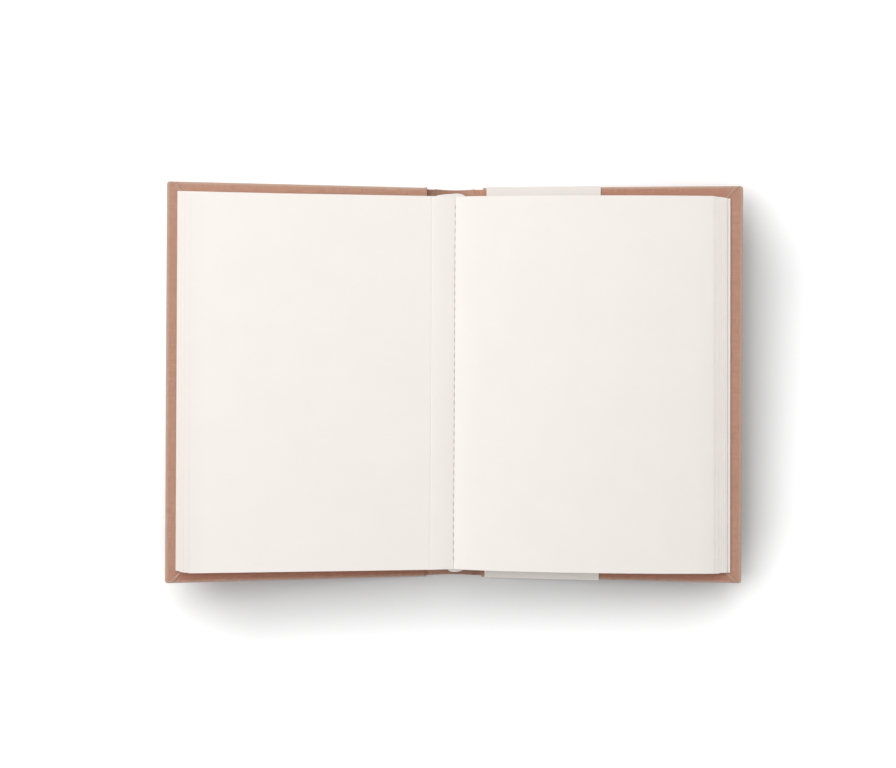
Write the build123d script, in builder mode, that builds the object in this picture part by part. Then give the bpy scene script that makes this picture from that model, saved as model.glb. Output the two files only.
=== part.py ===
from build123d import *
import os
from math import cos, radians, sin

# A cloth-bound photo album lying open on its spine, all sizes in millimetres.
# The origin is on the underside of the spine, midway along it. +X runs across the
# open spread to the back cover, +Y to the head of the pages, and +Z up.

# Cloth case: two boards and a spine strip in one cloth, with a groove between them
cover_width = 146.0
cover_height = 222.6
cover_thickness = 3.0
cover_corner_radius = 1.0
cover_edge_radius = 0.7
spine_board_width = 23.0
spine_board_thickness = 2.2
groove_width = 4.8
cloth_thickness = 0.8
joint_gap = 0.15
spine_end_inset = 0.6
spine_end_hollow = 0.5
turn_in_width = 15.0
mitre_slit_width = 0.35
mitre_slit_depth = 0.25
mitre_offset = 3.5

# How far each cover stands up from the table
front_lift_deg = 9.5
back_lift_deg = 6.35

# Leaf block, sewn down the gutter and glued to the spine strip: the stubs between the
# leaves make it thicker at the spine than at the fore edges, to leave room for photos
page_height = 210.0
leaf_thickness = 0.35
front_leaf_count = 12
back_leaf_count = 16
block_spine_width = 19.0
leaf_edge_step = 0.67
front_fore_edge_square = 5.8
back_fore_edge_square = 6.8
leaf_clearance = 0.3
joint_bridge = 2.0
bridge_fillet = 3.0
gutter_height = 13.8
crease_distance = 13.0
crease_rise = 2.3
shoulder_distance = 12.0
shoulder_rise = 3.4
back_page_bulge = 3.3

# Sewing in the gutter
stitch_length = 3.0
stitch_pitch = 4.4
stitch_width = 0.55
stitch_height = 0.45
stitch_margin = 3.5
stitch_clearance = 0.17
thread_slot_depth = 0.5

# Bands glued to the head and tail of the sewn spine
headband_width = 10.5
headband_depth = 2.0
headband_height = 4.0
headband_top_gap = 0.3
headband_edge_radius = 0.5

# Endpapers pasted inside the covers
endpaper_thickness = 0.25
endpaper_margin = 7.2
endpaper_joint_margin = 2.0

# Paper band wrapped round the back cover
band_width = 64.5
band_start = 2.5
band_paper = 0.25
band_clearance = 0.15
band_corner_radius = 0.6

# Places that follow from the sizes above
hinge_distance = (spine_board_width + groove_width) / 2
board_start = groove_width / 2
board_end = board_start + cover_width
spine_length = cover_height - 2 * spine_end_inset
endpaper_height = cover_height - 2 * endpaper_margin
endpaper_start = board_start + endpaper_joint_margin
endpaper_end = board_end - endpaper_margin
front_seat = cover_thickness + endpaper_thickness + leaf_clearance
back_seat = front_seat + band_clearance + band_paper
front_spine_share = block_spine_width * front_leaf_count / (front_leaf_count + back_leaf_count)
back_spine_share = block_spine_width - front_spine_share
thread_slot_width = stitch_width + 2 * stitch_clearance
stitch_count = int((page_height - 2 * stitch_margin - stitch_length) / stitch_pitch) + 1

os.makedirs("parts", exist_ok=True)


def cover_plane(side, lift_deg):
    """The outside face of a cover: X runs from its joint to its fore edge, Z into the album."""
    lift = radians(lift_deg)
    return Plane(
        origin=(side * hinge_distance, 0, 0),
        x_dir=(side * cos(lift), 0, sin(lift)),
        z_dir=(-side * sin(lift), 0, cos(lift)),
    )


def cover_point(side, lift_deg, along, up):
    """The point of the XZ section that lies this far along a cover and this far above its outside."""
    place = cover_plane(side, lift_deg).from_local_coords((along, 0, up))
    return (place.X, place.Z)


def leaf_edges(side, lift_deg, seat, square, leaf_count):
    """The stepped fore edge of one stack of leaves, from the lowest leaf to the top one."""
    corners = []
    for leaf in range(leaf_count):
        along = board_end - square - leaf * leaf_edge_step
        for level in (leaf, leaf + 1):
            corners.append(cover_point(side, lift_deg, along, seat + level * leaf_thickness))
    return corners


def case_cover(plane):
    """One cloth-covered board, its flap of cloth towards the joint and its mitred turn-in corners."""
    with BuildPart() as cover:
        with BuildSketch(plane):
            with Locations(((board_start + board_end) / 2, 0)):
                RectangleRounded(cover_width, cover_height, cover_corner_radius)
        extrude(amount=cover_thickness)
        fillet(cover.edges().filter_by(Plane(plane.origin, z_dir=plane.z_dir)), cover_edge_radius)
        with BuildSketch(plane):
            with Locations((joint_gap, 0)):
                flap_reach = board_start + cover_edge_radius + cloth_thickness - joint_gap
                Rectangle(flap_reach, spine_length, align=(Align.MIN, Align.CENTER))
        extrude(amount=cloth_thickness)
        with BuildSketch(plane.offset(cover_thickness)):
            for end in (1, -1):
                with Locations((board_end - mitre_offset, end * cover_height / 2)):
                    slit_length = 2 * turn_in_width
                    Rectangle(slit_length, mitre_slit_width, rotation=end * 45)
        extrude(amount=-mitre_slit_depth, mode=Mode.SUBTRACT)
    return cover.part


def endpaper(plane):
    """The endpaper pasted over the turn-ins of one cover."""
    with BuildPart() as sheet:
        with BuildSketch(plane.offset(cover_thickness)):
            with Locations(((endpaper_start + endpaper_end) / 2, 0)):
                Rectangle(endpaper_end - endpaper_start, endpaper_height)
        extrude(amount=endpaper_thickness)
    return sheet.part


def headband(end):
    """A lens-shaped band on the head (end 1) or tail (end -1) of the sewn spine."""
    middle = (back_spine_share - front_spine_share) / 2
    page_end = end * page_height / 2
    left = (middle - headband_width / 2, page_end)
    right = (middle + headband_width / 2, page_end)
    crown = (middle, page_end + end * headband_depth)
    base = gutter_height - thread_slot_depth - headband_top_gap - headband_height
    with BuildPart() as band:
        with BuildSketch(Plane.XY.offset(base)):
            with BuildLine():
                ThreePointArc(left, crown, right)
                Line(right, left)
            make_face()
        extrude(amount=headband_height)
        fillet(band.edges().filter_by(GeomType.CIRCLE).sort_by(Axis.Z)[-1], headband_edge_radius)
    return band.part


# Spine strip: the cloth between the two joints, with the spine board under it
with BuildPart() as spine:
    with BuildSketch():
        half_width = hinge_distance - joint_gap
        half_length = spine_length / 2
        with BuildLine():
            for end in (1, -1):
                corner = (half_width, end * half_length)
                hollow = (0, end * (half_length - spine_end_hollow))
                ThreePointArc((-half_width, end * half_length), hollow, corner)
            Line((half_width, half_length), (half_width, -half_length))
            Line((-half_width, half_length), (-half_width, -half_length))
        make_face()
    extrude(amount=cloth_thickness)
    with BuildSketch():
        board_length = spine_length - 2 * (spine_end_hollow + cloth_thickness)
        RectangleRounded(spine_board_width, board_length, cover_corner_radius)
    extrude(amount=spine_board_thickness)
    fillet(spine.edges().group_by(Axis.Z)[-1], cover_edge_radius)
spine.part.label = "spine"
export_step(spine.part, "parts/spine.step")

# Covers and their endpapers, the front one at -X
covers = {"front": cover_plane(-1, front_lift_deg), "back": cover_plane(1, back_lift_deg)}
for name, plane in covers.items():
    board = case_cover(plane)
    board.label = f"{name}_cover"
    export_step(board, f"parts/{name}_cover.step")
    paper = endpaper(plane)
    paper.label = f"{name}_endpaper"
    export_step(paper, f"parts/{name}_endpaper.step")

# Leaf block: the turned leaves on the front cover, the rest on the back cover, and the
# sewn spine between them, which stands on the spine strip. The top leaf on the left is
# creased beside the gutter, and the one on the right rolls up out of the gutter and
# curves over to its fore edge.
with BuildPart() as pages:
    front_edges = leaf_edges(-1, front_lift_deg, front_seat, front_fore_edge_square, front_leaf_count)
    back_edges = leaf_edges(1, back_lift_deg, back_seat, back_fore_edge_square, back_leaf_count)
    bridge_end = board_start + joint_bridge
    front_bend = cover_point(-1, front_lift_deg, bridge_end, front_seat)
    back_bend = cover_point(1, back_lift_deg, bridge_end, back_seat)
    slot_half = thread_slot_width / 2
    slot_floor = gutter_height - thread_slot_depth
    with BuildSketch(Plane.XZ) as section:
        with BuildLine():
            Polyline(
                *reversed(front_edges),
                front_bend,
                (-front_spine_share, spine_board_thickness),
                (back_spine_share, spine_board_thickness),
                back_bend,
                *back_edges,
            )
            shoulder = (shoulder_distance, gutter_height + shoulder_rise)
            back_page = SagittaArc(shoulder, back_edges[-1], back_page_bulge)
            gutter_lip = (slot_half, gutter_height)
            TangentArc(shoulder, gutter_lip, tangent=-(back_page % 0))
            Polyline(
                gutter_lip,
                (slot_half, slot_floor),
                (-slot_half, slot_floor),
                (-slot_half, gutter_height),
                (-crease_distance, gutter_height + crease_rise),
                front_edges[-1],
            )
        make_face()
        bends = [section.vertices().sort_by_distance((x, 0, z))[0] for x, z in (front_bend, back_bend)]
        fillet(bends, bridge_fillet)
    extrude(amount=page_height / 2, both=True)
pages.part.label = "pages"
export_step(pages.part, "parts/pages.step")

# Sewing thread: the row of stitches that shows in the gutter
with BuildPart() as gutter_thread:
    with BuildSketch(Plane.XY.offset(gutter_height - thread_slot_depth)):
        with GridLocations(stitch_pitch, stitch_pitch, 1, stitch_count):
            SlotOverall(stitch_length, stitch_width, rotation=90)
    extrude(amount=stitch_height)
gutter_thread.part.label = "gutter_thread"
export_step(gutter_thread.part, "parts/gutter_thread.step")

# Bands at the head and tail of the sewn spine
for name, end in (("head_band", 1), ("tail_band", -1)):
    band = headband(end)
    band.label = name
    export_step(band, f"parts/{name}.step")

# Paper band: a closed strip round the back cover, beside its joint
with BuildPart() as paper_band:
    back_plane = covers["back"]
    band_low = -band_clearance
    band_high = cover_thickness + endpaper_thickness + band_clearance
    loop_height = band_high - band_low
    loop_length = cover_height + 2 * band_clearance
    loop_origin = back_plane.from_local_coords((board_start + band_start, 0, (band_low + band_high) / 2))
    with BuildSketch(Plane(loop_origin, x_dir=(0, 1, 0), z_dir=back_plane.x_dir)):
        RectangleRounded(loop_length + 2 * band_paper, loop_height + 2 * band_paper, band_corner_radius)
        inner_radius = band_corner_radius - band_paper
        RectangleRounded(loop_length, loop_height, inner_radius, mode=Mode.SUBTRACT)
    extrude(amount=band_width)
paper_band.part.label = "paper_band"
export_step(paper_band.part, "parts/paper_band.step")
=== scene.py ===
# An open photo album in a cloth case, lying on its spine.
# Sizes are written in millimetres and multiplied by mm, because the frame is in metres.
from math import cos, pi, radians, sin
from random import Random

import bmesh
import bpy
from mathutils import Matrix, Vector


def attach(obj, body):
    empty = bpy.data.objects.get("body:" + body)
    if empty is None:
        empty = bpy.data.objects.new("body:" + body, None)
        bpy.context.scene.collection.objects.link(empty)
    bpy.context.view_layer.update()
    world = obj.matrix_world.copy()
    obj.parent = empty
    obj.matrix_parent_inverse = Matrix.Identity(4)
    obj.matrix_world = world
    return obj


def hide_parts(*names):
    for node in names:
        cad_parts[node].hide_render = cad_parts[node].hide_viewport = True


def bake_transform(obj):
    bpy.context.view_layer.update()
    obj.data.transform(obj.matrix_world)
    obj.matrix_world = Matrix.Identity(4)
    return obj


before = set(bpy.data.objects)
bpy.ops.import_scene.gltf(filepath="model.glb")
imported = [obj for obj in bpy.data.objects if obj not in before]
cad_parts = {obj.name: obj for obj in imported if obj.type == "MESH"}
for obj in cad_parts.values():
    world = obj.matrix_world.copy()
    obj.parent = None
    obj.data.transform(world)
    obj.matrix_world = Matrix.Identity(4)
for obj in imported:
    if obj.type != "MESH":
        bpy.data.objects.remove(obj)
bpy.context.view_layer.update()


# Spine strip: a narrow board between the two joints, covered in the same woven book cloth as
# the covers. The cloth is glued over its outside and turned in over both ends, where it is
# pulled a little hollow. Painted shade darkens its cloth: in the head half most at the left, and
# in the tail half most at the right.
mm = 0.001
spine_width = 23.0 * mm
spine_thickness = 2.2 * mm
spine_half_length = 110.7 * mm
spine_end_start = 100.0 * mm
spine_end_hollow = {1: 0.65 * mm, -1: 0.4 * mm}
spine_cuts = 14
cloth_rounding = 0.7 * mm
# Painted shade on the spine and joint cloth at the head and the tail: its share at the middle and its
# change per millimetre across.
head_painted_shade = {"middle": 0.33, "per_mm": -0.035}
tail_painted_shade = {"middle": 0.28, "per_mm": 0.014}


def select_verts(piece, wanted):
    """In edit mode, selects only the vertices whose place passes the test."""
    mesh = bmesh.from_edit_mesh(piece.data)
    bpy.ops.mesh.select_mode(type="VERT")
    bpy.ops.mesh.select_all(action="DESELECT")
    for vert in mesh.verts:
        vert.select = wanted(vert.co)
    mesh.select_flush(True)
    bmesh.update_edit_mesh(piece.data)


def select_edges(piece, wanted):
    """In edit mode, selects only the edges whose two ends pass the test."""
    mesh = bmesh.from_edit_mesh(piece.data)
    bpy.ops.mesh.select_mode(type="EDGE")
    bpy.ops.mesh.select_all(action="DESELECT")
    for edge in mesh.edges:
        if wanted(edge.verts[0].co, edge.verts[1].co):
            edge.select = True
    bmesh.update_edit_mesh(piece.data)


def add_block(name, low, high):
    """A block between two corners, left in edit mode to be shaped."""
    bpy.ops.object.select_all(action="DESELECT")
    bpy.ops.mesh.primitive_cube_add(size=1.0)
    piece = bpy.context.object
    piece.name = name
    bpy.ops.object.mode_set(mode="EDIT")
    bpy.ops.mesh.select_all(action="SELECT")
    size = [b - a for a, b in zip(low, high)]
    middle = [(a + b) / 2 for a, b in zip(low, high)]
    bpy.ops.transform.resize(value=size)
    bpy.ops.transform.translate(value=middle)
    return piece


def cut_across(axis, places):
    """In edit mode, cuts the whole piece at these places along one axis."""
    for place in places:
        point = [0.0, 0.0, 0.0]
        point[axis] = place
        normal = [0.0, 0.0, 0.0]
        normal[axis] = 1.0
        bpy.ops.mesh.select_all(action="SELECT")
        bpy.ops.mesh.bisect(plane_co=point, plane_no=normal)


def close_piece(piece, material, smooth_deg=35.0):
    """Leaves edit mode with the faces pointing out, and gives the piece its finish."""
    bpy.ops.mesh.select_all(action="SELECT")
    bpy.ops.mesh.normals_make_consistent(inside=False)
    bpy.ops.object.mode_set(mode="OBJECT")
    bpy.ops.object.shade_smooth_by_angle(angle=radians(smooth_deg))
    piece.data.materials.clear()
    piece.data.materials.append(material)


def mark(piece, attribute, weigh):
    """Keeps a weight for each vertex, worked out from its place, as an attribute of the mesh."""
    layer = piece.data.attributes.new(attribute, "FLOAT", "POINT")
    for vert, item in zip(piece.data.vertices, layer.data):
        item.value = weigh(vert.co)


def add_node(tree, kind, **settings):
    """A shader node with these settings."""
    node = tree.nodes.new(kind)
    for name, value in settings.items():
        setattr(node, name, value)
    return node


def feed(tree, socket, value):
    """Links an output to a socket, or sets the socket to a plain value."""
    if isinstance(value, bpy.types.NodeSocket):
        tree.links.new(value, socket)
    else:
        socket.default_value = value


def math_node(tree, operation, *values):
    """A math node on these values."""
    node = add_node(tree, "ShaderNodeMath", operation=operation)
    for socket, value in zip(node.inputs, values):
        feed(tree, socket, value)
    return node.outputs[0]


def mix_colour(tree, factor, first, second, blend="MIX"):
    """A colour mix node."""
    node = add_node(tree, "ShaderNodeMix", data_type="RGBA", blend_type=blend)
    feed(tree, node.inputs["Factor"], factor)
    feed(tree, node.inputs["A"], first)
    feed(tree, node.inputs["B"], second)
    return node.outputs["Result"]


def noise(tree, vector, scale, detail=3.0, roughness=0.5):
    """A noise texture's value."""
    node = add_node(tree, "ShaderNodeTexNoise")
    feed(tree, node.inputs["Vector"], vector)
    node.inputs["Scale"].default_value = scale
    node.inputs["Detail"].default_value = detail
    node.inputs["Roughness"].default_value = roughness
    return node.outputs["Fac"]


def spread(tree, value, low, high, to_low=0.0, to_high=1.0):
    """A value's range mapped to another, smoothly and clamped."""
    node = add_node(tree, "ShaderNodeMapRange", interpolation_type="SMOOTHSTEP")
    feed(tree, node.inputs["Value"], value)
    node.inputs["From Min"].default_value = low
    node.inputs["From Max"].default_value = high
    node.inputs["To Min"].default_value = to_low
    node.inputs["To Max"].default_value = to_high
    return node.outputs["Result"]


def new_group(name, inputs, outputs):
    """A shader node group with float inputs and outputs, and its input and output nodes."""
    group = bpy.data.node_groups.new(name, "ShaderNodeTree")
    for label, value in inputs.items():
        socket = group.interface.new_socket(label, in_out="INPUT", socket_type="NodeSocketFloat")
        socket.default_value = value
    for label in outputs:
        group.interface.new_socket(label, in_out="OUTPUT", socket_type="NodeSocketFloat")
    given = add_node(group, "NodeGroupInput")
    result = add_node(group, "NodeGroupOutput")
    return group, given.outputs, result.inputs


def place_group(tree, group, **values):
    """A node group placed in a material, with its own values."""
    node = add_node(tree, "ShaderNodeGroup", node_tree=group)
    for label, value in values.items():
        feed(tree, node.inputs[label], value)
    return node.outputs


def new_material(name):
    """A material with only its Principled shader, and that shader's sockets."""
    material = bpy.data.materials.new(name)
    material.use_nodes = True
    shader = material.node_tree.nodes["Principled BSDF"]
    return material, material.node_tree, shader.inputs


def set_bump(tree, sockets, height, strength, distance):
    """A bump from a height."""
    node = add_node(tree, "ShaderNodeBump")
    node.inputs["Strength"].default_value = strength
    node.inputs["Distance"].default_value = distance
    feed(tree, node.inputs["Height"], height)
    feed(tree, sockets["Normal"], node.outputs["Normal"])


# The weave lies along x and y, and along z on the sides that stand up.
weave, given, result = new_group("plain_weave", {"Pitch": 0.5 * mm}, ["Warp", "Height", "Slub"])
place = add_node(weave, "ShaderNodeSeparateXYZ")
feed(weave, place.inputs[0], add_node(weave, "ShaderNodeTexCoord").outputs["Object"])
facing = add_node(weave, "ShaderNodeSeparateXYZ")
feed(weave, facing.inputs[0], add_node(weave, "ShaderNodeNewGeometry").outputs["Normal"])
along = []
for axis in ("X", "Y"):
    stands = math_node(weave, "GREATER_THAN", math_node(weave, "ABSOLUTE", facing.outputs[axis]), 0.7)
    lying = math_node(weave, "MULTIPLY", place.outputs[axis], math_node(weave, "SUBTRACT", 1.0, stands))
    along.append(math_node(weave, "MULTIPLY_ADD", place.outputs["Z"], stands, lying))
turns = []
for value in along:
    angle = math_node(weave, "DIVIDE", math_node(weave, "MULTIPLY", value, pi), given["Pitch"])
    turns.append(math_node(weave, "SINE", angle))
over = spread(weave, math_node(weave, "MULTIPLY", turns[0], turns[1]), -0.08, 0.08)
warp_rise = math_node(weave, "ABSOLUTE", turns[0])
weft_rise = math_node(weave, "ABSOLUTE", turns[1])
warp_top = math_node(weave, "MULTIPLY", warp_rise, math_node(weave, "MULTIPLY_ADD", weft_rise, 0.4, 0.6))
weft_top = math_node(weave, "MULTIPLY", weft_rise, math_node(weave, "MULTIPLY_ADD", warp_rise, 0.4, 0.6))
over_part = math_node(weave, "MULTIPLY", over, warp_top)
under_part = math_node(weave, "MULTIPLY", math_node(weave, "SUBTRACT", 1.0, over), weft_top)
slubs = []
for stretch in ((2400.0, 150.0), (150.0, 2400.0)):
    drawn = add_node(weave, "ShaderNodeCombineXYZ")
    for socket, value, scale in zip(drawn.inputs, along, stretch):
        feed(weave, socket, math_node(weave, "MULTIPLY", value, scale))
    slubs.append(noise(weave, drawn.outputs[0], 1.0, 2.0))
feed(weave, result["Warp"], over)
feed(weave, result["Height"], math_node(weave, "ADD", over_part, under_part))
both_slubs = math_node(weave, "ADD", slubs[0], slubs[1])
feed(weave, result["Slub"], math_node(weave, "MULTIPLY", both_slubs, 0.5))

book_cloth, tree, sockets = new_material("book_cloth")
cloth = place_group(tree, weave, Pitch=0.55 * mm)
threads = mix_colour(tree, cloth["Warp"], (0.535, 0.305, 0.222, 1), (0.475, 0.26, 0.183, 1))
uneven = spread(tree, cloth["Slub"], 0.36, 0.64, 0.88, 1.10)
threads = mix_colour(tree, 1.0, threads, uneven, "MULTIPLY")
# Painted shade: a cool grey multiplied into the cloth where a piece carries it, in the grooves, on the
# spine's ends and beside the pleats.
painted_shade = add_node(tree, "ShaderNodeAttribute", attribute_name="painted_shade")
threads = mix_colour(tree, painted_shade.outputs["Fac"], threads, (0.42, 0.40, 0.385, 1), "MULTIPLY")
# Painted shade: the turn-ins darkened to a deeper, redder brown, most at the tail.
deep_painted_shade = add_node(tree, "ShaderNodeAttribute", attribute_name="deep_painted_shade")
threads = mix_colour(tree, deep_painted_shade.outputs["Fac"], threads, (0.80, 0.55, 0.49, 1), "MULTIPLY")
surface = add_node(tree, "ShaderNodeTexCoord").outputs["Object"]
# Pale rims: partly real wear and partly painted sheen and highlight, on the rounded edges and the
# pleats' folds.
pale_wear_and_highlight = add_node(tree, "ShaderNodeAttribute", attribute_name="pale_wear_and_highlight")
fuzz = spread(tree, noise(tree, surface, 900.0, 3.0), 0.3, 0.7, 0.65, 1.0)
wear_and_highlight_part = math_node(tree, "MULTIPLY", pale_wear_and_highlight.outputs["Fac"], fuzz)
threads = mix_colour(tree, wear_and_highlight_part, threads, (0.57, 0.44, 0.36, 1))
feed(tree, sockets["Base Color"], threads)
feed(tree, sockets["Roughness"], spread(tree, cloth["Height"], 0.0, 1.0, 0.95, 0.78))
sockets["Specular IOR Level"].default_value = 0.25
sockets["Sheen Weight"].default_value = 0.12
sockets["Sheen Roughness"].default_value = 0.5
set_bump(tree, sockets, cloth["Height"], 0.5, 0.15 * mm)


def painted_shade_share(co):
    """How much painted shade darkens the cloth here: most at the head's left and the tail's right."""
    shade_ramp = head_painted_shade if co.y > 0 else tail_painted_shade
    return max(0.0, shade_ramp["middle"] + shade_ramp["per_mm"] * co.x / mm)


spine = add_block(
    "spine_cloth",
    (-spine_width / 2, -spine_half_length, 0.0),
    (spine_width / 2, spine_half_length, spine_thickness),
)
select_edges(spine, lambda a, b: True)
bpy.ops.mesh.bevel(offset=cloth_rounding, segments=4, affect="EDGES")
cut_across(0, [spine_width * (step / spine_cuts - 0.5) for step in range(1, spine_cuts)])
cut_across(1, [-spine_end_start, spine_end_start])
for step in range(spine_cuts + 1):
    across = spine_width * (step / spine_cuts - 0.5)
    share = 1 - (2 * across / spine_width) ** 2
    for end in (1, -1):
        select_verts(
            spine,
            lambda co: abs(co.x - across) < 0.4 * mm and end * co.y > spine_end_start + 1.0 * mm,
        )
        bpy.ops.transform.translate(value=(0, -end * spine_end_hollow[end] * share, 0))
close_piece(spine, book_cloth)
mark(spine, "painted_shade", painted_shade_share)
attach(spine, "block")
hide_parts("spine")


# Joints: between the spine strip and each cover the cloth is pressed into a groove. A strip of
# the same cloth lines it inside, from the top of the board over to the spine. The cloth itself
# is the hinge.
hinge_distance = 13.9 * mm
covers = {"front": (-1, 9.5), "back": (1, 6.35)}


def on_cover(side, lift_deg, along, up):
    """The (x, z) place this far along a cover from its joint and this far above its outside."""
    lift = radians(lift_deg)
    x = hinge_distance + along * cos(lift) - up * sin(lift)
    return side * x, along * sin(lift) + up * cos(lift)


def draw_line(name, points):
    """A line drawn point by point, left in edit mode and selected."""
    bpy.ops.object.select_all(action="DESELECT")
    bpy.ops.mesh.primitive_plane_add(size=1.0)
    piece = bpy.context.object
    piece.name = name
    bpy.ops.object.mode_set(mode="EDIT")
    bpy.ops.mesh.select_mode(type="VERT")
    bpy.ops.mesh.select_all(action="SELECT")
    bpy.ops.mesh.merge(type="CENTER")
    bpy.ops.transform.translate(value=points[0])
    for here, there in zip(points, points[1:]):
        step = [b - a for a, b in zip(here, there)]
        bpy.ops.mesh.extrude_vertices_move(TRANSFORM_OT_translate={"value": step})
    bpy.ops.mesh.select_all(action="SELECT")
    return piece


def draw_prism(name, outline, depth):
    """An outline filled and extruded, left in edit mode."""
    piece = draw_line(name, outline)
    bpy.ops.mesh.edge_face_add()
    bpy.ops.mesh.extrude_region_move(TRANSFORM_OT_translate={"value": depth})
    return piece


# The section of the cloth in the groove, in millimetres. Its outside starts under the spine strip
# and ends under the board, and its lining comes back: the first list of each gives x and z from the
# middle of the spine, and the other how far along the cover and how far above its outside.
joint_head = 110.5 * mm
joint_tail = -110.8 * mm
joint_rounding = 0.25 * mm
outside_at_spine = [(11.2, 0.15), (12.0, 0.4), (13.2, 0.45)]
outside_at_board = [(0.6, 0.45), (1.9, 0.4), (2.9, 0.15)]
lining_at_board = [(2.9, 2.7), (1.9, 1.5), (0.4, 1.2)]
lining_at_spine = [(12.8, 1.4), (11.2, 1.85)]
for name, (side, lift) in covers.items():
    section = [(side * x * mm, z * mm) for x, z in outside_at_spine]
    for along, up in outside_at_board + lining_at_board:
        section.append(on_cover(side, lift, along * mm, up * mm))
    section += [(side * x * mm, z * mm) for x, z in lining_at_spine]
    outline = [(x, joint_tail, z) for x, z in section]
    strip = draw_prism(f"{name}_joint_cloth", outline, (0, joint_head - joint_tail, 0))
    select_edges(strip, lambda a, b: abs(a.y - b.y) < 1e-6)
    bpy.ops.mesh.bevel(offset=joint_rounding, segments=3, affect="EDGES")
    close_piece(strip, book_cloth)
    # Painted shade darkens the joint cloth, as on the spine strip.
    mark(strip, "painted_shade", painted_shade_share)
    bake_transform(strip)


# Covers: grey board in woven book cloth, which is glued over the outside, turned in over the edges
# and mitred at the fore corners, where spare cloth makes a small pleat. The outer edges are paler,
# partly from wear and partly from painted sheen; painted shade darkens the turn-ins; and the cloth
# stands up in small ears beside the joint.
board_start = 2.4 * mm
board_end = 148.4 * mm
cover_half_height = 111.3 * mm
cover_thickness = 3.0 * mm
fore_corner_radius = 1.6 * mm
joint_corner_radius = 0.6 * mm
rim_width = 1.9 * mm
turn_in_shown = 7.0 * mm
mitre_length = 9.0 * mm
# Painted shade on the turn-ins at the head (1) and the tail (-1) of each cover.
turn_in_deep_shade = {"front": {1: 0.0, -1: 0.6}, "back": {1: 0.3, -1: 0.5}}
ear_length = 2.2 * mm
ear_height = 0.3 * mm
# A pleat is a triangle: near and far are its corners at the board's edge and point is its tip, each
# counted in from the fore edge. A lower, wider layer under it is its hem, darkened with painted shade;
# the upper layer's sides are pale with wear and painted highlight.
pleat_base = 2.85 * mm
pleat_edge = 0.45 * mm
pleat_length = 8.4 * mm
pleat_near = 1.9 * mm
pleat_far = 4.9 * mm
pleat_point = 10.6 * mm
pleat_layers = (
    {"wider": 0.45 * mm, "height": 0.18 * mm, "wear_and_highlight": 0.0, "painted_shade": 0.65},
    {"wider": 0.0, "height": 0.50 * mm, "wear_and_highlight": 1.0, "painted_shade": 0.0},
)


def raise_cover(side, lift_deg):
    """In edit mode, turns a piece that was modelled flat up to its cover's angle about the joint."""
    bpy.ops.mesh.select_all(action="SELECT")
    bpy.ops.transform.rotate(
        value=side * radians(lift_deg),
        orient_axis="Y",
        center_override=(side * hinge_distance, 0, 0),
    )


def wear_and_highlight(co):
    """How pale the cloth is here from wear and painted sheen: most on the rounding of the outer edges,
    fading along the faces.
    """
    depth = min(co.z, cover_thickness - co.z)
    if depth > 0.5 * mm:
        return 0.0
    inside = min(hinge_distance + board_end - abs(co.x), cover_half_height - abs(co.y))
    return min(1.0, max(0.0, 1 - inside / rim_width))


def painted_deep_shade(co, deep_shade, mitre_start, turn_in):
    """How much painted shade deepens the cloth here: only on the turn-ins at head and tail, up to the
    mitres.
    """
    if abs(co.x) > mitre_start + 0.1 * mm or abs(co.y) < turn_in - 0.1 * mm:
        return 0.0
    return deep_shade[1 if co.y > 0 else -1]


def join_parts(name, parts):
    """Several parts made into one piece, which is left in edit mode."""
    bpy.ops.object.select_all(action="DESELECT")
    for part in parts:
        part.select_set(True)
    bpy.context.view_layer.objects.active = parts[0]
    bpy.ops.object.join()
    parts[0].name = name
    bpy.ops.object.mode_set(mode="EDIT")
    return parts[0]


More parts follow.
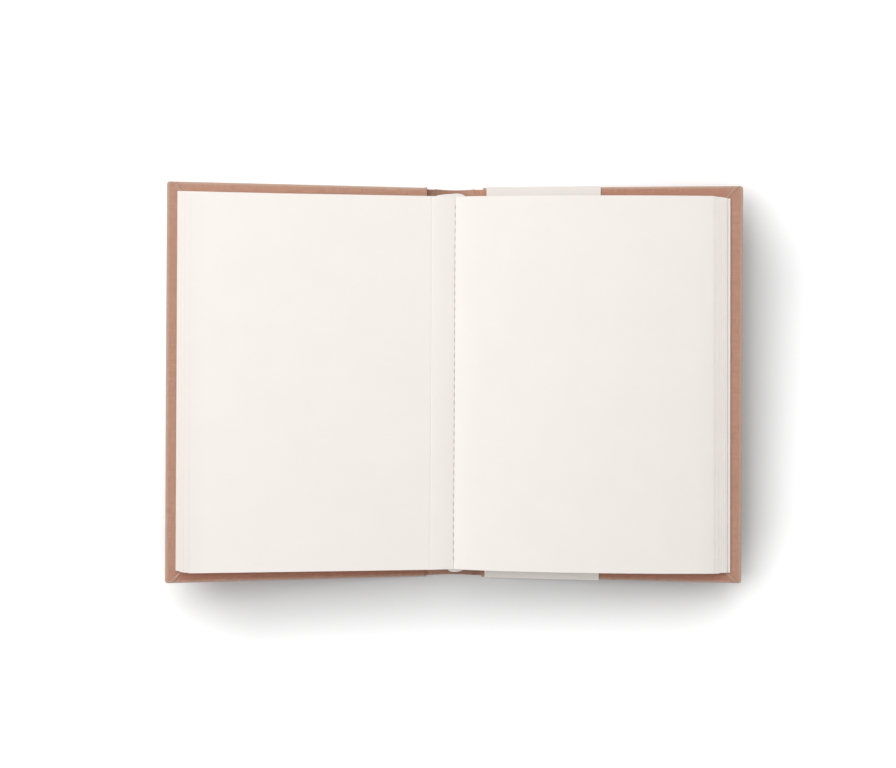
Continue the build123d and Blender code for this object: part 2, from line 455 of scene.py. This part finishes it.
for name, (side, lift) in covers.items():
    joint_edge = hinge_distance + board_start
    fore_edge = hinge_distance + board_end
    left, right = sorted((side * joint_edge, side * fore_edge))
    board = add_block(
        f"{name}_cover_cloth",
        (left, -cover_half_height, 0.0),
        (right, cover_half_height, cover_thickness),
    )
    for corner, radius in ((joint_edge, joint_corner_radius), (fore_edge, fore_corner_radius)):
        select_edges(
            board,
            lambda a, b: abs(a.z - b.z) > 1.0 * mm and abs(abs(a.x) - corner) < 0.01 * mm,
        )
        bpy.ops.mesh.bevel(offset=radius, segments=5, affect="EDGES")
    select_edges(board, lambda a, b: abs(a.z - b.z) < 1e-7)
    bpy.ops.mesh.bevel(offset=cloth_rounding, segments=4, affect="EDGES")
    ear_end = joint_edge + ear_length
    mitre_start = fore_edge - mitre_length
    cut_across(0, [side * (fore_edge - rim_width), side * mitre_start, side * ear_end])
    turn_in = cover_half_height - turn_in_shown
    for cut in (cover_half_height - rim_width, turn_in, turn_in - 0.5 * mm):
        cut_across(1, [-cut, cut])
    for end in (1, -1):
        select_verts(
            board,
            lambda co: abs(co.x) < ear_end - 0.3 * mm and end * co.y > cover_half_height - 1.0 * mm,
        )
        bpy.ops.transform.translate(value=(0, end * ear_height, 0))
    bpy.ops.object.mode_set(mode="OBJECT")
    # Wear with painted sheen on the rims, and painted shade on the turn-ins.
    mark(board, "pale_wear_and_highlight", wear_and_highlight)
    deep_shade = turn_in_deep_shade[name]
    mark(board, "deep_painted_shade", lambda co: painted_deep_shade(co, deep_shade, mitre_start, turn_in))
    parts = [board]
    for end in (1, -1):
        edge = end * (cover_half_height - pleat_edge)
        point = end * (cover_half_height - pleat_length)
        for layer in pleat_layers:
            outline = [
                (side * (fore_edge - pleat_near + layer["wider"]), edge, pleat_base),
                (side * (fore_edge - pleat_far - layer["wider"]), edge, pleat_base),
                (side * (fore_edge - pleat_point - layer["wider"]), point, pleat_base),
            ]
            pleat = draw_prism(f"{name}_pleat", outline, (0, 0, layer["height"]))
            near_top = pleat_base + layer["height"] - 0.01 * mm
            select_edges(pleat, lambda a, b: min(a.z, b.z) > near_top)
            bpy.ops.mesh.bevel(offset=0.9 * layer["height"], segments=3, affect="EDGES")
            bpy.ops.mesh.select_all(action="SELECT")
            bpy.ops.mesh.normals_make_consistent(inside=False)
            bpy.ops.object.mode_set(mode="OBJECT")
            mark(pleat, "pale_wear_and_highlight", lambda co: layer["wear_and_highlight"] if co.z < near_top else 0.05)
            mark(pleat, "painted_shade", lambda co: layer["painted_shade"])
            parts.append(pleat)
    board = join_parts(f"{name}_cover_cloth", parts)
    raise_cover(side, lift)
    close_piece(board, book_cloth)
    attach(board, f"{name}_cover")
    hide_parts(f"{name}_cover")


# Endpapers: a sheet of cream paper pasted inside each cover over the turned-in cloth. The
# leaves lie on it, so that it only shows when the album is looked at from the side.
paper, given, result = new_group("paper_fibre", {"Fineness": 1.0}, ["Cloud", "Fibre", "Edge"])
surface = add_node(paper, "ShaderNodeTexCoord").outputs["Object"]
scaled = add_node(paper, "ShaderNodeVectorMath", operation="SCALE")
feed(paper, scaled.inputs[0], surface)
feed(paper, scaled.inputs["Scale"], given["Fineness"])
feed(paper, result["Cloud"], noise(paper, scaled.outputs[0], 40.0, 4.0, 0.6))
feed(paper, result["Fibre"], noise(paper, scaled.outputs[0], 2600.0, 3.0, 0.7))
facing = add_node(paper, "ShaderNodeSeparateXYZ")
feed(paper, facing.inputs[0], add_node(paper, "ShaderNodeNewGeometry").outputs["Normal"])
upright = math_node(paper, "ABSOLUTE", facing.outputs["Z"])
feed(paper, result["Edge"], spread(paper, upright, 0.2, 0.35, 1.0, 0.0))


def paper_finish(name, light, dark, cut, fineness, bump):
    """Uncoated paper between two close tones, a little cloudy, with fibres and duller cut edges, greyed
    further where a piece carries painted shade.
    """
    material, tree, sockets = new_material(name)
    sheet = place_group(tree, paper, Fineness=fineness)
    cloud = spread(tree, sheet["Cloud"], 0.3, 0.7)
    speck = spread(tree, sheet["Fibre"], 0.25, 0.75)
    shade = math_node(tree, "MULTIPLY_ADD", speck, 0.35, math_node(tree, "MULTIPLY", cloud, 0.65))
    colour = mix_colour(tree, sheet["Edge"], mix_colour(tree, shade, dark, light), cut)
    # Painted shade: a grey towards the cut colour where a piece marks it.
    edge_shade_strength = add_node(tree, "ShaderNodeAttribute", attribute_name="painted_edge_shade")
    grey = math_node(tree, "MULTIPLY", edge_shade_strength.outputs["Fac"], 0.75)
    colour = mix_colour(tree, grey, colour, cut)
    feed(tree, sockets["Base Color"], colour)
    feed(tree, sockets["Roughness"], spread(tree, speck, 0.0, 1.0, 0.80, 0.92))
    sockets["Specular IOR Level"].default_value = 0.3
    set_bump(tree, sockets, sheet["Fibre"], bump, 0.02 * mm)
    return material


endpaper = paper_finish(
    "endpaper", (0.86, 0.81, 0.74, 1), (0.81, 0.76, 0.69, 1), (0.75, 0.70, 0.63, 1), 0.8, 0.4
)
for name in covers:
    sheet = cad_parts[f"{name}_endpaper"]
    sheet.data.materials.clear()
    sheet.data.materials.append(endpaper)


# Leaves: thick cream album card, sewn in the middle of the spread and scored beside the gutter at
# the left. A narrow stub of the same card is bound in behind each leaf, so that the block is thicker
# at the spine than at the fore edges and leaves room for photographs. Painted shade greys the fore
# edges, most at the cut and the tail.
leaf_half_height = 105.0 * mm
leaf_thickness = 0.26 * mm
leaf_level = 0.35 * mm
painted_shade_width = 9.0 * mm
cut_width = 0.6 * mm
album_card = paper_finish(
    "album_card", (0.93, 0.88, 0.838, 1), (0.912, 0.86, 0.817, 1), (0.77, 0.715, 0.66, 1), 1.0, 0.5
)


def between(first, last, share):
    """The point this share of the way from one (x, z) point to another."""
    return tuple(a + (b - a) * share for a, b in zip(first, last))


def carry_on(path, last, rise, shares):
    """A path carried on to a point, in a run that arches this far above its chord."""
    first = Vector(path[-1])
    run = Vector(last) - first
    up = Vector((-run.y, run.x)).normalized()
    return path + [tuple(first + run * s + up * (4 * rise * s * (1 - s))) for s in shares]


def painted_edge_shade(co, start, rim_start, most):
    """How much painted shade greys a leaf: only beside its fore edge, and most at the cut and the tail.
    """
    if abs(co.x) < start:
        return 0.0
    grey = most if abs(co.x) > rim_start else 0.25
    return grey * (0.6 if co.y > 0 else 1.0)


def draw_sheet(name, path, depth):
    """A path extruded into a sheet that has no thickness yet, left in object mode."""
    piece = draw_line(name, path)
    bpy.ops.mesh.extrude_region_move(TRANSFORM_OT_translate={"value": depth})
    bpy.ops.object.mode_set(mode="OBJECT")
    return piece


def thicken(piece, thickness, side):
    """Gives sheets their thickness on one side of the drawn face; left in edit mode."""
    bpy.context.view_layer.objects.active = piece
    bpy.ops.object.mode_set(mode="OBJECT")
    layer = piece.modifiers.new("thickness", "SOLIDIFY")
    layer.thickness = thickness
    layer.offset = side
    bpy.ops.object.modifier_apply(modifier=layer.name)
    bpy.ops.object.mode_set(mode="EDIT")


# The upper faces of the lowest and the top leaf in millimetres, from the spine out to the fore edge:
# x is counted from the gutter to either side. Each leaf between them lies a share of the way from one
# to the other.
fan = [0.03, 0.07, 0.12, 0.18, 0.26, 0.4, 0.6, 0.8, 1.0]
roll = [step / 6 for step in range(1, 7)]
front_low = [(8.143, 2.2), (8.3, 2.28), (8.6, 2.34), (9.1, 2.45)]
front_low += [(17.0, 4.1), (17.3, 4.17), (17.5, 4.2), (17.7, 4.23), (18.0, 4.28)]
front_low = carry_on(front_low, (153.96, 27.04), 0.0, fan)
front_top = [(0.02, 2.2), (0.02, 13.4), (0.1, 13.68), (0.5, 13.84)]
front_top += [(12.5, 16.02), (12.8, 15.98), (13.0, 15.94), (13.2, 16.0), (13.5, 16.15)]
front_top = carry_on(front_top, (146.00, 29.96), 0.0, fan)
back_low = [(10.857, 2.2), (11.0, 2.26), (11.3, 2.33), (11.7, 2.44)]
back_low = carry_on(back_low, (17.84, 4.41), 0.0, roll)
back_low = carry_on(back_low, (154.19, 19.59), 0.0, fan)
back_top = [(0.02, 2.2), (0.02, 13.4), (0.1, 13.68), (0.445, 13.84)]
back_top = carry_on(back_top, (12.0, 17.2), 0.40, roll)
back_top = carry_on(back_top, (143.59, 24.04), 3.3, fan)
# The fore edges are uneven: edges lists how many millimetres each lies back from the lowest leaf's,
# and air is the gap between the lowest leaf and the others. askew tells how far the lowest leaf's
# head and tail have slipped from the top leaf's, and skew how far a fore edge is turned out at the
# tail and in at the head. The strength of the grey on the cut edges is painted shade.
stacks = {
    "front": {
        "seat": 3.55 * mm,
        "square": 5.8 * mm,
        "edges": [0.0, 0.9, 1.0, 1.9, 2.6, 2.7, 3.7, 4.3, 4.4, 5.5, 6.6, 7.37],
        "air": 0.0,
        "edge_shade_strength": 0.9,
        "skew": 0.0,
        "askew": (0.8 * mm, 0.8 * mm),
        "low": front_low,
        "top": front_top,
        "stub_end": 6,
    },
    "back": {
        "seat": 3.95 * mm,
        "square": 6.8 * mm,
        "edges": [0.0, 1.9, 2.6, 2.9, 3.8, 4.1, 5.0, 5.3, 6.1, 6.7, 6.9, 7.8, 8.3, 8.9, 9.2, 10.05],
        "air": 0.9 * mm,
        "edge_shade_strength": 0.08,
        "skew": 0.45 * mm,
        "askew": (-0.9 * mm, 0.0),
        "low": back_low,
        "top": back_top,
        "stub_end": 8,
    },
}
chance = Random(5)
for name, (side, lift) in covers.items():
    stack = stacks[name]
    ends = list(zip(stack["low"], stack["top"]))
    count = len(stack["edges"])
    spacing = leaf_level - stack["air"] / (count - 1)
    parts = []
    for leaf, set_back in enumerate(stack["edges"]):
        share = (leaf + 1) / count
        half_way = (leaf + 0.5) / count
        level = stack["seat"] + leaf_level + leaf * spacing
        if leaf > 0:
            level += stack["air"]
        stub = [between(a, b, half_way) for a, b in ends[: stack["stub_end"]]]
        stub = [(x * mm, z * mm) for x, z in stub]
        sheet = [between(a, b, share) for a, b in ends[:-1]]
        sheet = [(x * mm, z * mm) for x, z in sheet]
        reach = board_end - stack["square"] - set_back * mm
        sheet.append(on_cover(1, lift, reach, level))
        head = leaf_half_height + stack["askew"][0] * (1 - share)
        tail = stack["askew"][1] * (1 - share) - leaf_half_height
        run = Vector(sheet[-1]) - Vector(sheet[-2])
        for back in (painted_shade_width, cut_width):
            sheet.insert(-1, tuple(Vector(sheet[-1]) - run.normalized() * back))
        rim_start = sheet[-2][0] + 0.1 * mm
        painted_shade_start = sheet[-3][0] + 0.1 * mm
        for outline in (stub, sheet):
            shift = chance.uniform(-0.15, 0.15) * mm
            drawn = [(side * x, tail + shift, z) for x, z in outline]
            parts.append(draw_sheet(f"{name}_leaf", drawn, (0, head - tail, 0)))
        mark(parts[-1], "painted_edge_shade", lambda co: painted_edge_shade(co, painted_shade_start, rim_start, stack["edge_shade_strength"]))
        bpy.ops.object.mode_set(mode="EDIT")
        for end in (1, -1):
            select_verts(parts[-1], lambda co: abs(co.x) > painted_shade_start - 0.6 * mm and end * co.y > 0)
            bpy.ops.transform.translate(value=(-side * end * stack["skew"], 0, 0))
        bpy.ops.object.mode_set(mode="OBJECT")
    leaves = join_parts(f"{name}_leaves", parts)
    thicken(leaves, leaf_thickness, -side)
    close_piece(leaves, album_card, 20.0)
    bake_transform(leaves)
    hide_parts("pages")


# Sewing: one row of stitches down the gutter in grey cotton thread, which goes through the
# middle fold of the leaves. Each stitch lies in the fold and dips into its hole at both ends.
stitch_count = 46
stitch_pitch = 4.4 * mm
stitch_length = 2.6 * mm
stitch_radius = 0.17 * mm
stitch_level = 13.78 * mm
stitch_dip = 0.12 * mm
cotton_thread, tree, sockets = new_material("cotton_thread")
surface = add_node(tree, "ShaderNodeTexCoord").outputs["Object"]
place = add_node(tree, "ShaderNodeSeparateXYZ")
feed(tree, place.inputs[0], surface)
slant = math_node(tree, "MULTIPLY_ADD", place.outputs["X"], 1.3, place.outputs["Y"])
ply = math_node(tree, "SINE", math_node(tree, "MULTIPLY", slant, 2 * pi / (0.42 * mm)))
strand = spread(tree, ply, -1.0, 1.0)
hairs = spread(tree, noise(tree, surface, 5000.0, 2.0), 0.3, 0.7)
tone = math_node(tree, "MULTIPLY_ADD", hairs, 0.3, math_node(tree, "MULTIPLY", strand, 0.7))
feed(tree, sockets["Base Color"], mix_colour(tree, tone, (0.31, 0.29, 0.275, 1), (0.53, 0.50, 0.48, 1)))
feed(tree, sockets["Roughness"], spread(tree, hairs, 0.0, 1.0, 0.65, 0.85))
sockets["Specular IOR Level"].default_value = 0.3
set_bump(tree, sockets, strand, 0.6, 0.08 * mm)
bpy.ops.object.select_all(action="DESELECT")
bpy.ops.mesh.primitive_uv_sphere_add(segments=12, ring_count=10, radius=stitch_radius)
thread = bpy.context.object
thread.name = "gutter_stitches"
bpy.ops.object.mode_set(mode="EDIT")
bpy.ops.mesh.select_all(action="SELECT")
bpy.ops.transform.rotate(value=pi / 2, orient_axis="X", center_override=(0, 0, 0))
for end in (1, -1):
    select_verts(thread, lambda co: end * co.y > 0.02 * mm)
    bpy.ops.transform.translate(value=(0, end * (stitch_length / 2 - stitch_radius), 0))
    select_verts(thread, lambda co: end * co.y > stitch_length / 2 - 0.8 * stitch_radius)
    bpy.ops.transform.translate(value=(0, 0, -stitch_dip))
    select_verts(thread, lambda co: end * co.y > stitch_length / 2 - 0.4 * stitch_radius)
    bpy.ops.transform.translate(value=(0, 0, -stitch_dip))
bpy.ops.mesh.select_all(action="SELECT")
bpy.ops.transform.translate(value=(0, -stitch_pitch * (stitch_count - 1) / 2, stitch_level))
bpy.ops.object.mode_set(mode="OBJECT")
row = thread.modifiers.new("row", "ARRAY")
row.count = stitch_count
row.use_relative_offset = False
row.use_constant_offset = True
row.constant_offset_displace = (0, stitch_pitch, 0)
bpy.ops.object.modifier_apply(modifier=row.name)
bpy.ops.object.mode_set(mode="EDIT")
close_piece(thread, cotton_thread, 80.0)
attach(thread, "block")
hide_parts("gutter_thread")


# Head and tail bands: short rolls of pale cotton tape, lens-shaped from above, that are glued
# to the two ends of the sewn spine and hide the glue there. The one at the head reaches further
# to the left.
band_low = 9.0 * mm
band_top = 13.0 * mm
band_depth = 2.0 * mm
band_rounding = 0.5 * mm
band_middle = 0.6 * mm
cotton_tape, tree, sockets = new_material("cotton_tape")
surface = add_node(tree, "ShaderNodeTexCoord").outputs["Object"]
place = add_node(tree, "ShaderNodeSeparateXYZ")
feed(tree, place.inputs[0], surface)
rib = math_node(tree, "SINE", math_node(tree, "MULTIPLY", place.outputs["X"], 2 * pi / (0.55 * mm)))
rib = spread(tree, rib, -1.0, 1.0)
fluff = spread(tree, noise(tree, surface, 3000.0, 3.0), 0.3, 0.7)
tone = math_node(tree, "MULTIPLY_ADD", fluff, 0.4, math_node(tree, "MULTIPLY", rib, 0.6))
feed(tree, sockets["Base Color"], mix_colour(tree, tone, (0.74, 0.70, 0.68, 1), (0.88, 0.85, 0.83, 1)))
feed(tree, sockets["Roughness"], spread(tree, fluff, 0.0, 1.0, 0.80, 0.95))
sockets["Specular IOR Level"].default_value = 0.2
sockets["Sheen Weight"].default_value = 0.1
set_bump(tree, sockets, rib, 0.5, 0.1 * mm)
for name, end, front_reach, back_reach, shoulder in (
    ("head_band", 1, 12.0 * mm, 5.0 * mm, 0.85),
    ("tail_band", -1, 4.0 * mm, 5.2 * mm, 1.0),
):
    bpy.ops.object.select_all(action="DESELECT")
    bpy.ops.mesh.primitive_uv_sphere_add(segments=40, ring_count=14, radius=1.0)
    tape = bpy.context.object
    tape.name = f"{name}_tape"
    bpy.ops.object.mode_set(mode="EDIT")
    bpy.ops.mesh.select_all(action="SELECT")
    bpy.ops.transform.resize(value=(1, band_depth, band_rounding))
    for hand, reach in ((-1, front_reach), (1, back_reach)):
        select_verts(tape, lambda co: hand * co.x > 1e-6)
        bpy.ops.transform.resize(value=(reach, 1, 1), center_override=(0, 0, 0))
    select_verts(tape, lambda co: co.x < -0.15 * front_reach)
    bpy.ops.transform.resize(value=(1, shoulder, 1), center_override=(0, 0, 0))
    select_verts(tape, lambda co: co.z < -0.01 * mm)
    bpy.ops.transform.translate(value=(0, 0, band_low - band_top + 2 * band_rounding))
    bpy.ops.mesh.select_all(action="SELECT")
    bpy.ops.mesh.bisect(
        plane_co=(0, 0, 0), plane_no=(0, -end, 0), use_fill=True, clear_outer=True
    )
    bpy.ops.mesh.select_all(action="SELECT")
    bpy.ops.transform.translate(value=(band_middle, end * leaf_half_height, band_top - band_rounding))
    close_piece(tape, cotton_tape, 50.0)
    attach(tape, "block")
    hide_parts(name)


# Paper band: a strip of off-white paper wrapped once round the back cover beside the joint. Its
# ends overlap under the cover, where they are glued, and painted shade greys it at the head.
wrap_paper = paper_finish(
    "wrap_paper", (0.93, 0.875, 0.835, 1), (0.90, 0.845, 0.805, 1), (0.715, 0.675, 0.645, 1), 1.2, 0.4
)
wrap_start = board_start + 2.1 * mm
wrap_width = 64.8 * mm
wrap_thickness = 0.12 * mm
# Its course round the cover in millimetres, y and z with the cover laid flat: from the inner end under
# the cover round the tail, over the inside, round the head and back under the first end.
route = [(12.0, -0.14), (-20.0, -0.14), (-24.0, -0.40)]
route += [(-111.1, -0.40), (-111.52, -0.22), (-111.7, 0.2), (-111.7, 3.05), (-111.52, 3.47)]
route += [(-111.1, 3.65), (111.1, 3.65), (111.52, 3.47), (111.7, 3.05), (111.7, 0.2)]
route += [(111.52, -0.22), (111.1, -0.40), (2.0, -0.40)]
drawn = [(hinge_distance + wrap_start, y * mm, z * mm) for y, z in route]
wrap = draw_sheet("paper_wrap", drawn, (wrap_width, 0, 0))
thicken(wrap, wrap_thickness, 1)
raise_cover(1, covers["back"][1])
close_piece(wrap, wrap_paper, 40.0)
mark(wrap, "painted_edge_shade", lambda co: 1.0 if co.y > 0 else 0.0)
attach(wrap, "back_cover")
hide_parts("paper_band")


# Studio: a pale floor under two softboxes, one at the left and one beyond the head, seen from
# straight above. Away from the album the floor has a painted glow for the camera, which shapes where
# its shadow runs out to white. The studio's sizes are in metres.
floor_material, tree, sockets = new_material("studio_floor")
rays = add_node(tree, "ShaderNodeLightPath")
seen = math_node(tree, "MAXIMUM", rays.outputs["Is Camera Ray"], rays.outputs["Is Glossy Ray"])
seen = math_node(tree, "MAXIMUM", seen, rays.outputs["Is Transmission Ray"])
sockets["Base Color"].default_value = (0.80, 0.80, 0.80, 1)
sockets["Roughness"].default_value = 1.0
sockets["Specular IOR Level"].default_value = 0.0
sockets["Emission Color"].default_value = (1, 1, 1, 1)
# Painted light: the glow grows with the distance from a slightly leaning oblong under the album.
spot = add_node(tree, "ShaderNodeSeparateXYZ")
feed(tree, spot.inputs[0], add_node(tree, "ShaderNodeTexCoord").outputs["Object"])
clear = add_node(tree, "ShaderNodeCombineXYZ")
for axis, other, lean, middle, half_size in (
    ("X", "Y", -0.06, 0.018, 0.116),
    ("Y", "X", -0.05, -0.018, 0.062),
):
    placed = math_node(tree, "MULTIPLY_ADD", spot.outputs[other], lean, spot.outputs[axis])
    offset = math_node(tree, "ABSOLUTE", math_node(tree, "SUBTRACT", placed, middle))
    past = math_node(tree, "SUBTRACT", offset, half_size)
    feed(tree, clear.inputs[axis], math_node(tree, "MAXIMUM", past, 0.0))
away = add_node(tree, "ShaderNodeVectorMath", operation="LENGTH")
feed(tree, away.inputs[0], clear.outputs[0])
painted_glow = spread(tree, away.outputs["Value"], 0.036, 0.085, 0.0, 0.45)
painted_glow = math_node(tree, "ADD", painted_glow, spread(tree, away.outputs["Value"], 0.1, 1.2, 0.0, 0.6))
feed(tree, sockets["Emission Strength"], math_node(tree, "MULTIPLY", seen, painted_glow))
bpy.ops.object.select_all(action="DESELECT")
bpy.ops.mesh.primitive_plane_add(size=8.0, location=(0, 0, -0.05 * mm))
floor = bpy.context.object
floor.name = "studio_floor"
floor.data.materials.append(floor_material)

world = bpy.data.worlds.new("studio_light")
bpy.context.scene.world = world
world.use_nodes = True
tree = world.node_tree
rays = add_node(tree, "ShaderNodeLightPath")
seen = math_node(tree, "MAXIMUM", rays.outputs["Is Camera Ray"], rays.outputs["Is Glossy Ray"])
seen = math_node(tree, "MAXIMUM", seen, rays.outputs["Is Transmission Ray"])
backdrop = tree.nodes["Background"]
backdrop.inputs["Color"].default_value = (1, 1, 1, 1)
feed(tree, backdrop.inputs["Strength"], spread(tree, seen, 0.0, 1.0, 0.38, 1.0))

for name, location, size, power in (
    ("left_softbox", (-0.72, 0.17, 1.1), 0.9, 8.8),
    ("head_softbox", (0.1, 1.5, 1.3), 1.4, 16.5),
):
    bpy.ops.object.light_add(type="AREA", location=location)
    softbox = bpy.context.object
    softbox.name = name
    softbox.data.shape = "SQUARE"
    softbox.data.size = size
    softbox.data.energy = power
    softbox.rotation_euler = (-softbox.location).to_track_quat("-Z", "Y").to_euler()

bpy.ops.object.camera_add(location=(-0.0119, 0.0260, 0.700), rotation=(0, 0, radians(0.293)))
camera = bpy.context.object
camera.name = "camera_above"
camera.data.sensor_width = 36.0
camera.data.lens = 48.87
camera.data.shift_x = 0.0162
camera.data.shift_y = -0.0529
camera.data.clip_start = 0.01
bpy.context.scene.camera = camera
bpy.context.scene.view_settings.view_transform = "Standard"
